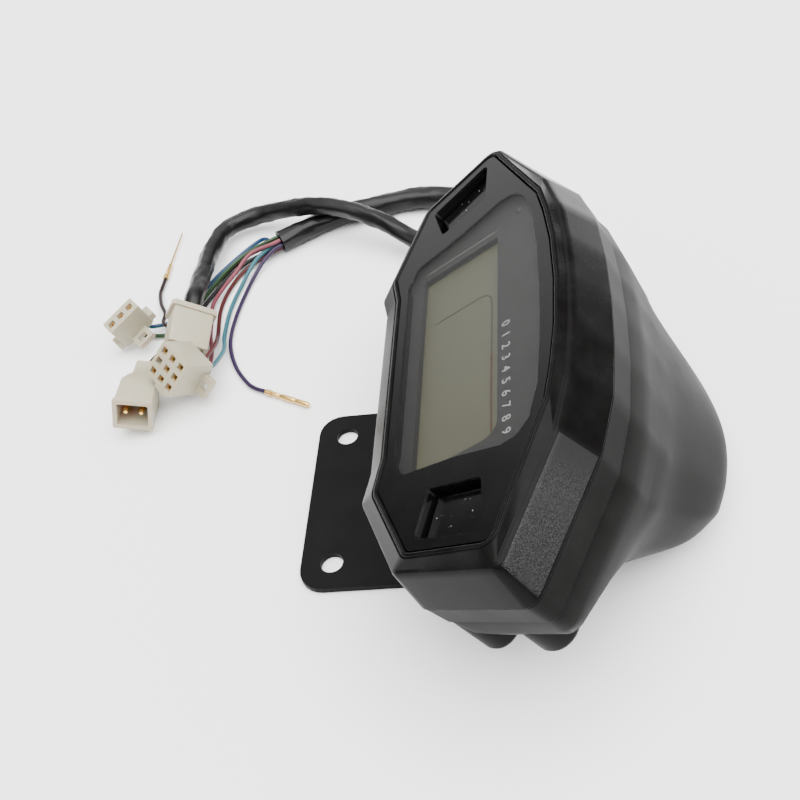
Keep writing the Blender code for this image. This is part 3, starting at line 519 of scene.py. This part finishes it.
# The lip round the lens, as (distance out from the lens edge, depth): the seat's wall, a raised bead, a fine
# groove and the start of the band.
LIP = [(0.4, LENS_THICK + 1.1), (0.4, 0.2), (0.9, -0.5), (1.8, -0.3), (1.9, 0.2), (2.2, 0.2), (2.3, -0.15)]
SHELL_INSIDE = 6.5
face_ring = level(outline(FACE_EDGE), 3.5)
split_ring = level(outline(SPLIT_EDGE), SPLIT_DEPTH - GAP / 2)
shell_rings = [level(outline(LENS_EDGE, grow), depth) for grow, depth in LIP] + [
    level(outline(FACE_EDGE, -1.3), 2.3),
    level(outline(FACE_EDGE, -0.5), 2.7),
    face_ring,
    blend(face_ring, split_ring, 0.1),
    blend(face_ring, split_ring, 0.94),
    split_ring,
    level(outline(SPLIT_EDGE, -WALL), SPLIT_DEPTH - GAP / 2),
    level(outline(FACE_EDGE, -WALL), SHELL_INSIDE),
    level(outline(LENS_EDGE, -1.6), SHELL_INSIDE),
    level(outline(LENS_EDGE, -1.6), LENS_THICK + 1.1),
]
FACET_BANDS = (9, 10)           # the grain lies between ring 9 and ring 11
FACET_INNER = 52.5
FACET_OUTER = 85
FACET_LOW = 38.9


def grained(i, k):
    """The two slanted upper sides carry the grain, a little in from their edges."""
    here = face_ring[i]
    on_side = FACET_INNER < abs(here.x) < FACET_OUTER and here.y > FACET_LOW
    return 1 if k in FACET_BANDS and on_side else 0


front_shell = soften(skin("front_shell", shell_rings, grained, closed=True), 0.3)
settle(front_shell, [satin, sparkle], stands_for=["front_bezel"])

# ---- Middle frame: a plain band moulded in black plastic, held between the front shell and the rear shell
# by the screws that draw them together, with a fine seam on either side of it.
BAND_TAPER = 1.0
middle_rings = [
    level(outline(SPLIT_EDGE, -0.2), SPLIT_DEPTH + GAP / 2),
    level(outline(SPLIT_EDGE, -0.35), SPLIT_DEPTH + 1.2),
    level(outline(SPLIT_EDGE, -BAND_TAPER), SEAM_DEPTH - GAP / 2),
    level(outline(SPLIT_EDGE, -BAND_TAPER - WALL), SEAM_DEPTH - GAP / 2),
    level(outline(SPLIT_EDGE, -BAND_TAPER - WALL), SPLIT_DEPTH + GAP / 2),
]
middle_band = soften(skin("middle_band", middle_rings, closed=True), 0.25)
plain = finish("shell_plain", (0.0036, 0.0034, 0.0032), 0.4, grain=0.006, grain_size=0.4, wear=0.1,
               specular=0.03, vary=0.03)
settle(middle_band, [plain], stands_for=["middle_frame"])

# ---- Rear shell: a deep tapered cup in the same black plastic that carries the circuit board. Two screw
# bosses stand out of it on each side and the harness leaves through its left wall.
COWL_SECTIONS = [
    (31.0, [(33, -8.0, 0), (43, -8.5, 4), (76.0, 8.0, 5), (87.6, 39.0, 5), (53, 59.8, 10),
            (36, 64.4, 0), (18, 66.2, 0), (0, 66.7, 0)]),
    (35.5, [(30, 3.0, 0), (40, 3.0, 4), (76.5, 14.0, 5), (85.3, 37.8, 5), (52.5, 58.9, 10),
            (36, 63.6, 0), (18, 65.4, 0), (0, 65.9, 0)]),
    (40.5, [(28, 2.0, 0), (37, 3.0, 4), (66.0, 15.0, 6), (72.5, 43.0, 7), (51, 57.6, 10),
            (35, 62.8, 0), (18, 64.6, 0), (0, 65.1, 0)]),
    (47.0, [(27, -1.4, 0), (35, -1.0, 4), (57.5, 14.0, 7), (62.0, 45.0, 8), (48, 57.0, 9),
            (33, 62.0, 0), (17, 63.8, 0), (0, 64.4, 0)]),
    (55.0, [(26, -6.2, 0), (34, -5.5, 4), (50.0, 12.0, 8), (54.0, 44.0, 8), (43, 56.2, 9),
            (29, 61.2, 0), (15, 63.0, 0), (0, 63.6, 0)]),
    (65.0, [(24, 6.6, 0), (32, 7.6, 4), (43.5, 18.0, 7), (46.5, 44.0, 8), (38, 56.2, 8),
            (26, 61.0, 0), (13, 62.9, 0), (0, 63.5, 0)]),
    (76.5, [(20, 22.4, 0), (27, 23.4, 4), (35.5, 30.0, 6), (38.5, 44.5, 7), (32.5, 56.2, 7),
            (22, 60.6, 0), (11, 62.4, 0), (0, 63.2, 0)]),
    (85.4, [(15, 35.6, 0), (20, 36.2, 3), (28.0, 40.4, 4), (31.0, 47.0, 5), (26.0, 56.2, 5),
            (18, 60.0, 0), (9, 62.2, 0), (0, 63.0, 0)]),
    (88.0, [(12, 40.6, 0), (16, 41.2, 3), (22.5, 43.6, 3), (25.0, 48.0, 4), (21.5, 54.0, 4),
            (14, 57.4, 0), (7, 59.0, 0), (0, 59.6, 0)]),
]
COWL_RIM = 1.4                  # how far the cup's rim stands in from the split outline
BOSSES = [(66.5, 6.6, 6.5, 29.0, 46.0), (74.0, 25.6, 7.0, 34.0, 45.5)]   # x, v, radius, depth range


def merge(name, pieces):
    """One object from several closed skins."""
    mesh = bpy.data.meshes.new(name)
    bm = bmesh.new()
    for piece in pieces:
        bm.from_mesh(piece.data)
        bpy.data.objects.remove(piece)
    bm.to_mesh(mesh)
    bm.free()
    mesh.shade_smooth()
    mesh.set_sharp_from_angle(angle=math.radians(40))
    made = bpy.data.objects.new(name, mesh)
    bpy.context.scene.collection.objects.link(made)
    return made


def turned(name, profile, place, axis, sides=32, shape=None):
    """A turned piece from (distance along the axis, radius) pairs; shape(along, angle) may dent it."""
    turn_to = Vector(axis).normalized().to_track_quat("Z", "Y").to_matrix()
    rings = []
    for along, radius in profile:
        ring = []
        for i in range(sides):
            angle = 2 * math.pi * i / sides
            reach = radius * (shape(along, angle) if shape else 1.0)
            local = Vector((math.cos(angle) * reach, math.sin(angle) * reach, along))
            ring.append(Vector(place) + turn_to @ local)
        rings.append(ring)
    return skin(name, rings)


sections = [level(outline(half), depth) for depth, half in COWL_SECTIONS]
cowl_rings = [level(outline(SPLIT_EDGE, -COWL_RIM), SEAM_DEPTH + GAP / 2)] + sections[:2]
FIRST_SMOOTH = 2
RINGS_BETWEEN = 4
for k in range(FIRST_SMOOTH, len(sections) - 1):
    a, b = sections[k - 1] if k > FIRST_SMOOTH else sections[k], sections[k]
    c, d = sections[k + 1], sections[min(k + 2, len(sections) - 1)]
    for step in range(RINGS_BETWEEN):
        cowl_rings.append([curve_point(*four, step / RINGS_BETWEEN) for four in zip(a, b, c, d)])
cowl_rings.append(sections[-1])
HUMP_START = 8                  # rings from here on are blended into each other
HUMP_PASSES = 8
for _ in range(HUMP_PASSES):
    for k in range(HUMP_START, len(cowl_rings) - 1):
        ring = blend(cowl_rings[k], blend(cowl_rings[k - 1], cowl_rings[k + 1], 0.5), 0.5)
        count = len(ring)
        cowl_rings[k] = [ring[i].lerp((ring[i - 1] + ring[(i + 1) % count]) / 2, 0.35) for i in range(count)]
inner = [level(outline(half, -WALL - 0.3), depth - WALL) for depth, half in COWL_SECTIONS[:-1]]
inner_rim = level(outline(SPLIT_EDGE, -COWL_RIM - WALL), SEAM_DEPTH + GAP / 2)
cup = skin("cup", list(reversed(cowl_rings)) + [inner_rim] + inner)
bosses = []
for side in (-1, 1):
    for x, v, radius, top, end in BOSSES:
        profile = [(0, radius), (end - top - 1.6, radius), (end - top - 0.5, radius - 0.5),
                   (end - top, radius - 1.5), (end - top, 3.9), (end - top - 0.6, 3.7)]
        bosses.append(turned("boss", profile, (side * x, v, -top), (0, 0, -1), 40))
rear_shell = merge("rear_shell", [cup] + bosses)
settle(rear_shell, [plain], stands_for=["rear_cowl"])

# ---- Lens: one sheet of clear acrylic, gloss black print on its back except for the window, let into a
# groove of the front shell on a thin gasket. The two button wells are cut through it.
BUTTON_WELL = [(52.6, 18.0), (66.9, 13.8), (75.0, 36.2), (57.4, 35.4)]
WINDOW = [(36, 4.6, 0), (43, 8.2, 3), (46, 25.5, 20), (50.5, 41.5, 5), (50, 46.5, 4), (46, 50.5, 4),
          (36, 53.4, 9), (18, 54.7, 0), (0, 55.0, 0)]


def well(side, grow):
    """The outline of one button's well, offset by grow."""
    points = BUTTON_WELL if side > 0 else [(-x, v) for x, v in reversed(BUTTON_WELL)]
    return rounded(offset_loop(points, grow), [max(1.4 + grow, 0.4)] * 4, 5)


def flat_piece(name, loops, back, front):
    """A flat outline with holes, between two depths."""
    curve = bpy.data.curves.new(name, "CURVE")
    curve.dimensions = "2D"
    curve.fill_mode = "BOTH"
    curve.extrude = abs(back - front) / 2 * MM
    for loop in loops:
        spline = curve.splines.new("POLY")
        spline.points.add(len(loop) - 1)
        for point, place in zip(spline.points, loop):
            point.co = (place[0] * MM, place[1] * MM, 0, 1)
        spline.use_cyclic_u = True
    shape = bpy.data.objects.new(name + "_outline", curve)
    bpy.context.scene.collection.objects.link(shape)
    mesh = bpy.data.meshes.new_from_object(shape.evaluated_get(bpy.context.evaluated_depsgraph_get()))
    bpy.data.objects.remove(shape)
    bm = bmesh.new()
    bm.from_mesh(mesh)
    bmesh.ops.remove_doubles(bm, verts=bm.verts, dist=0.00001)
    bmesh.ops.dissolve_limit(bm, angle_limit=0.001, verts=bm.verts, edges=bm.edges)
    bmesh.ops.translate(bm, verts=bm.verts, vec=(0, 0, -(back + front) / 2 * MM))
    bmesh.ops.recalc_face_normals(bm, faces=bm.faces)
    bm.to_mesh(mesh)
    bm.free()
    made = bpy.data.objects.new(name, mesh)
    bpy.context.scene.collection.objects.link(made)
    return made


gloss = finish("gloss_print", (0.0018, 0.0018, 0.0019), 0.09, wear=0.03, specular=0.42)
window_outline = rounded([p[:2] for p in WINDOW] + [(-x, v) for x, v, _ in reversed(WINDOW[:-1])],
                         [p[2] for p in WINDOW] + [p[2] for p in reversed(WINDOW[:-1])])
SHEET = 0.5
RIM_WIDTH = 3.0
WELL_WALL = 0.9
WELL_DEPTH = 9.4
print_sheet = flat_piece("sheet", [outline(LENS_EDGE), window_outline, well(1, 0), well(-1, 0)], SHEET, 0)
rim = flat_piece("rim", [outline(LENS_EDGE), outline(LENS_EDGE, -RIM_WIDTH)], LENS_THICK, SHEET)
walls = [flat_piece("wall", [well(side, WELL_WALL), well(side, 0)], WELL_DEPTH, SHEET) for side in (1, -1)]
print_part = soften(merge("lens_print", [print_sheet, rim] + walls), 0.12)
settle(print_part, [gloss], stands_for=["lens"])
clear = bpy.data.materials.new("clear_acrylic")
clear.use_nodes = True
clear_shader = clear.node_tree.nodes["Principled BSDF"]
clear_shader.inputs["Base Color"].default_value = (0.01, 0.01, 0.01, 1)
clear_shader.inputs["Roughness"].default_value = 0.08
clear_shader.inputs["IOR"].default_value = 2.4
clear_shader.inputs["Alpha"].default_value = 0.16
haze = clear.node_tree.nodes.new("ShaderNodeTexNoise")
haze.inputs["Scale"].default_value = 90.0
haze_range = clear.node_tree.nodes.new("ShaderNodeMapRange")
haze_range.inputs["To Min"].default_value = 0.07
haze_range.inputs["To Max"].default_value = 0.09
clear.node_tree.links.new(haze.outputs["Fac"], haze_range.inputs["Value"])
clear.node_tree.links.new(haze_range.outputs["Result"], clear_shader.inputs["Roughness"])
window = flat_piece("lens_window", [window_outline], SHEET, 0)
settle(window, [clear], stands_for=["lens"])

# ---- Buttons: two gloss black plastic caps, moulded to the shape of their wells and set a little below the
# lens surface. Each slides in its well and is pushed back by the tact switch behind it.
BUTTON_TOP = 3.2
CAP_BACK = 9.0
CAP_GAP = 0.7
dusty = finish("cap_gloss", (0.0018, 0.0018, 0.0019), 0.12, grain_size=0.9, wear=0.03, specular=0.42,
               specks=0.27)
for side, body in ((-1, "button_left"), (1, "button_right")):
    cap = skin("cap_" + body, [level(well(side, -CAP_GAP), CAP_BACK),
                               level(well(side, -CAP_GAP), BUTTON_TOP + 0.7),
                               level(well(side, -0.85), BUTTON_TOP + 0.3),
                               level(well(side, -1.2), BUTTON_TOP + 0.06),
                               level(well(side, -1.9), BUTTON_TOP)])
    soften(cap, 0.2)
    settle(cap, [dusty], body=body, stands_for=[body])

# ---- Display: a dark grey plastic mask, clipped behind the lens, whose opening shows the grey-green glass.
# Faint segments lie on the glass, the edge of a film shows beside it, and plain dial numbers are printed
# white along its top.
mask_look = finish("mask_grey", (0.0145, 0.014, 0.0135), 0.6, grain=0.002, grain_size=0.4, wear=0.02)
OPENING = [(-37.5, 9.3), (43.0, 9.3), (43.0, 38.6), (-37.5, 38.6)]
opening = rounded([Vector(p) for p in OPENING], [1, 1, 5, 1], 8)
card_edge = [Vector((p.x, max(p.y, 1.4))) for p in offset_loop(window_outline, 4.6)]
MASK_FRONT = 2.45
card = flat_piece("card", [card_edge, opening], 2.65, MASK_FRONT)
plate_edge = [Vector(p) for p in ((-50, 5.2), (50, 5.2), (50, 48.5), (-50, 48.5))]
plate = flat_piece("plate", [rounded(plate_edge, [2] * 4, 4), opening], 4.1, 2.6)
mask = merge("display_mask", [card, plate])
settle(mask, [mask_look], stands_for=["mask_plate"])


INK = 0.04


def strip(name, start, end, width, depth=4.35):
    """A thin printed line between two points of the face."""
    first, last = Vector(start), Vector(end)
    along = (last - first).normalized()
    across = Vector((-along.y, along.x)) * width / 2
    corners = [first - across, last - across, last + across, first + across]
    return skin(name, [level(corners, depth), level(corners, depth - INK)])


BAR_LEVEL = 35.0                # the top of the scale line, where the red marks start too
BAR = [(-17.0, 13.4), (-17.0, 30.5), (-16.3, 32.9), (-14.6, 34.4), (-12.0, BAR_LEVEL), (42.0, BAR_LEVEL)]
MARK_START = 9.0
MARK_PITCH = 3.4
MARK_LENGTH = 2.6
scale_line = [strip("scale", p, q, 0.34) for p, q in zip(BAR, BAR[1:])]
segment_look = finish("segment_ink", (0.034, 0.031, 0.022), 0.3)
settle(merge("lcd_segments", scale_line), [segment_look])
mark_starts = [MARK_START + MARK_PITCH * k for k in range(10)]
red_marks = [strip("mark", (x, BAR_LEVEL), (x + MARK_LENGTH, BAR_LEVEL), 0.5, depth=4.3)
             for x in mark_starts]
settle(merge("lcd_red_marks", red_marks), [finish("red_ink", (0.075, 0.028, 0.016), 0.3)])
RIVET = [(0, 1.3), (0.25, 1.2), (0.5, 0.8), (0.6, 0.3)]
settle(turned("mask_rivet", RIVET, (-43.5, 47.0, -MASK_FRONT), (0, 0, 1)), [mask_look])
film_look = finish("film_edge", (0.16, 0.155, 0.14), 0.3)
settle(strip("film_edge", (-40.6, 10.5), (-40.6, 38.0), 0.28, depth=2.44), [film_look])


def numerals(name, text, size, middle, depth):
    """Plain numbers printed on the face, raised by a paint's thickness."""
    letters = bpy.data.curves.new(name, "FONT")
    letters.body = text
    letters.size = size * MM
    letters.extrude = 0.02 * MM
    letters.align_x = "CENTER"
    letters.align_y = "CENTER"
    shape = bpy.data.objects.new(name + "_text", letters)
    bpy.context.scene.collection.objects.link(shape)
    mesh = bpy.data.meshes.new_from_object(shape.evaluated_get(bpy.context.evaluated_depsgraph_get()))
    bpy.data.objects.remove(shape)
    mesh.transform(Matrix.Translation(Vector((middle[0], middle[1], -depth)) * MM))
    made = bpy.data.objects.new(name, mesh)
    bpy.context.scene.collection.objects.link(made)
    return made


white_print = finish("white_print", (0.36, 0.36, 0.35), 0.5)
NUMBER_SIZE = 4.0
NUMBER_PITCH = 4.5
dial_numbers = merge("dial_numbers", [numerals("number", str(k), NUMBER_SIZE, (3.5 + NUMBER_PITCH * k, 41.4),
                                               2.43) for k in range(10)])
settle(dial_numbers, [white_print])

# ---- Connector housings: natural nylon, so a little of the light passes through. The nine-way and the
# three-way take sockets; the two-way takes pins in an open shroud; the branch ends in a six-way shroud.


def rounded_box(half_x, half_y, along, radius=0.9):
    """A ring in the shape of a rectangle with rounded corners."""
    corners = [(-half_x, -half_y), (half_x, -half_y), (half_x, half_y), (-half_x, half_y)]
    return [Vector((p.x, p.y, along)) for p in rounded([Vector(p) for p in corners], [radius] * 4, 4)]


def bar(name, size, centre, radius=0.5):
    """A block whose edges along Z are rounded."""
    x, y, z = centre
    rings = [rounded_box(size[0] / 2, size[1] / 2, z + size[2] / 2 * end, radius) for end in (-1, 1)]
    return skin(name, [[Vector((p.x + x, p.y + y, p.z)) for p in ring] for ring in rings])


def carve(piece, others, operation):
    """Join or cut other solids and keep the result as plain geometry."""
    for other in others:
        cut = piece.modifiers.new("carve", "BOOLEAN")
        cut.operation = operation
        cut.solver = "EXACT"
        cut.object = other
    bpy.context.view_layer.update()
    mesh = bpy.data.meshes.new_from_object(piece.evaluated_get(bpy.context.evaluated_depsgraph_get()))
    piece.modifiers.clear()
    piece.data = mesh
    for other in others:
        bpy.data.objects.remove(other)
    mesh.set_sharp_from_angle(angle=math.radians(35))
    return piece


nylon = finish("nylon", (0.36, 0.33, 0.235), 0.4, grain=0.03, grain_size=1.2, wear=0.2, stain=0.05,
               subsurface=0.35)
brass = finish("brass", (0.72, 0.47, 0.16), 0.26, grain=0.01, grain_size=0.4, metallic=1.0, stain=0.25)
nodes = frame["nodes"]
ends = {"nine": [], "three": [], "two": [nodes["pin_two_1"], nodes["pin_two_2"]], "six": []}


def connector(name, key, sections, joined, cut):
    """A housing from its rounded sections, with solids joined to it and cut out of it."""
    piece = skin(name, [rounded_box(x, y, along) for along, x, y in sections])
    if joined:
        carve(piece, joined, "UNION")
    carve(piece, cut, "DIFFERENCE")
    soften(piece, 0.35, 3, 40)
    piece.matrix_world = places[key]
    ends[key].append(settle(piece, [nylon], stands_for=["conn_" + key], on_face=False))


def cell_block(column, row, length):
    """What one contact's cell takes out of a housing, from its mating face inwards."""
    return bar("cell", (CELL_HOLLOW, CELL_HOLLOW, CELL_DEPTH * 2), (column * CELL, row * CELL, length), 0.25)


def socket(name, key, column, row, length, node):
    """A folded brass socket contact, open at its end, seen at the bottom of its cell."""
    body = bar("socket", (2.0, 2.0, 6.6), (column * CELL, row * CELL, length - 4.2), 0.35)
    bore = bar("bore", (1.15, 0.7, 5.0), (column * CELL, row * CELL, length - 0.9), 0.2)
    carve(body, [bore], "DIFFERENCE")
    body.name = name
    body.matrix_world = places[key]
    ends[key].append(settle(body, [brass], stands_for=[node], on_face=False))


CELL_HOLLOW = 2.75
CELL_DEPTH = 8.0
NINE_LENGTH = 14.6
THREE_LENGTH = 12.5
NINE_CELLS = [(column, row) for row in (-1, 0, 1) for column in (-1, 0, 1)]
connector("nine_way", "nine", [(0, 7.0, 7.0), (0.8, 7.4, 7.4), (NINE_LENGTH, 7.4, 7.4)],
          [bar("loop", (8.0, 5.6, 2.4), (-0.8, -9.4, 1.5)),
           bar("ridge", (1.8, 6.0, 13.6), (-8.0, -2.0, 7.6)),
           bar("rib", (10.5, 1.0, 10.0), (0, 7.6, 6.0), 0.3)],
          [bar("eye", (3.4, 3.2, 6.0), (-0.8, -9.8, 1.5))]
          + [cell_block(column, row, NINE_LENGTH) for column, row in NINE_CELLS])
number = 0
for column, row in NINE_CELLS:
    if (column, row) != (0, 1):
        number += 1
        socket("nine_socket_%d" % number, "nine", column, row, NINE_LENGTH, "contact_nine_%d" % number)
connector("three_way", "three", [(0, 6.6, 2.8), (1.0, 7.5, 3.4), (THREE_LENGTH, 7.5, 3.4)],
          [bar("rim", (19.2, 5.4, 3.0), (0, 0, 2.6)), bar("loop", (7.6, 7.0, 2.2), (0, -6.0, 1.4))],
          [bar("eye", (3.8, 3.2, 6.0), (0, -6.6, 1.4))]
          + [cell_block(column, 0, THREE_LENGTH) for column in (-1, 0, 1)])
for column in (-1, 0, 1):
    number = column + 2
    socket("three_socket_%d" % number, "three", column, 0, THREE_LENGTH, "contact_three_%d" % number)
connector("two_way", "two", [(-9.0, 4.3, 3.8), (-0.2, 4.3, 3.8), (0.8, 5.2, 4.4), (5.4, 6.7, 5.6),
                             (6.4, 6.95, 5.85), (21.9, 6.95, 5.85)],
          [bar("lip", (14.6, 12.4, 1.6), (0, 0, 21.0))],
          [bar("mouth", (11.3, 9.1, 24.0), (0, 0, 21.9), 0.7)])
connector("six_way", "six", [(0, 7.4, 4.9), (0.6, 7.75, 5.25), (18.5, 7.75, 5.25)],
          [bar("flange", (18.0, 12.0, 2.2), (0, 0, 1.3), 1.6)],
          [bar("mouth", (12.9, 7.9, 18.0), (0, 0, 18.5), 0.7)])

# ---- Loose terminals: a brass bullet on the violet wire and a long thin pin on the brown one, each with
# two crimped barrels, one round the insulation and one round the bare strands.
BULLET = [(0, 0.7), (0.05, 1.1), (1.3, 1.2), (2.9, 1.1), (3.0, 0.75), (3.7, 0.72), (3.8, 0.98), (6.2, 0.95),
          (6.4, 0.8), (7.2, 0.8), (7.6, 1.05), (13.4, 1.05), (13.7, 0.9), (14.3, 0.9), (14.6, 1.05),
          (18.8, 1.05), (19.6, 0.85), (20.0, 0.5)]
PIN = [(0, 0.7), (0.05, 1.1), (1.3, 1.2), (2.8, 1.1), (2.9, 0.7), (3.6, 0.7), (3.8, 0.95), (6.4, 0.9),
       (6.7, 0.7), (8.8, 0.85), (9.6, 0.7), (10.2, 0.42), (24.0, 0.36), (31.0, 0.3), (32.0, 0.15)]


def crimp(along, angle):
    """The barrel's two wings are rolled in along the top."""
    dent = math.exp(-((angle - math.pi / 2) / 0.35) ** 2)
    return 1.0 - 0.3 * dent if along < 6.5 else 1.0


for colour, route, profile in (("violet", VIOLET[1], BULLET), ("brown", BROWN[1], PIN)):
    way = Vector(route[-1]) - Vector(route[-2])
    way.z = 0.0
    way.normalize()
    lug = turned("lug_" + colour, profile, Vector(route[-1]) + way * GAP, way, 24, crimp)
    ends[colour] = [settle(lug, [brass], stands_for=["terminal_" + colour], on_face=False)]

# ---- Everything else keeps the built shape: painted bracket, plated screws, rubber parts and the stack
# of board, light guide and switches inside. Only their surfaces and edges are finished here.
rubber = finish("rubber_black", (0.012, 0.012, 0.012), 0.75, grain=0.03, grain_size=0.6, wear=0.3)
paint = finish("bracket_paint", (0.003, 0.003, 0.003), 0.42, grain=0.015, grain_size=1.6, wear=0.05,
               specular=0.06)
zinc = finish("screw_zinc", (0.5, 0.5, 0.52), 0.3, grain=0.01, metallic=1.0, stain=0.2)
board = finish("board_green", (0.012, 0.09, 0.035), 0.4, grain=0.02, stain=0.3)
black_part = finish("black_part", (0.012, 0.012, 0.012), 0.45, grain=0.01)
white_part = finish("white_part", (0.75, 0.75, 0.72), 0.4, grain=0.01, stain=0.04)
lcd_look = finish("lcd_glass", (0.085, 0.085, 0.055), 0.35, grain=0.001, grain_size=0.3, vary=0.008)
KEPT = [
    (["bracket"], paint, 0.35), (["bracket_screw_left", "bracket_screw_right"], zinc, 0.3),
    (["housing_screw_%d" % k for k in (1, 2, 3, 4)], zinc, 0.3),
    (["cable_grommet_a", "cable_grommet_b"], rubber, 0.5), (["lens_gasket", "housing_gasket"], rubber, 0.1),
    (["zebra_strip"], rubber, 0.1), (["tact_switch_left", "tact_switch_right", "mcu_chip"], black_part, 0.2),
    (["polarizer"], black_part, 0.05), (["lcd_glass"], lcd_look, 0.1),
    (["light_guide", "lcd_frame", "pcb_header"], white_part, 0.2), (["main_pcb"], board, 0.1),
    (["pin_two_1", "pin_two_2"], brass, 0.1),
]
for names, look, edge in KEPT:
    for name in names:
        nodes[name].data.materials.clear()
        nodes[name].data.materials.append(look)
        soften(nodes[name], edge, 2, 35)
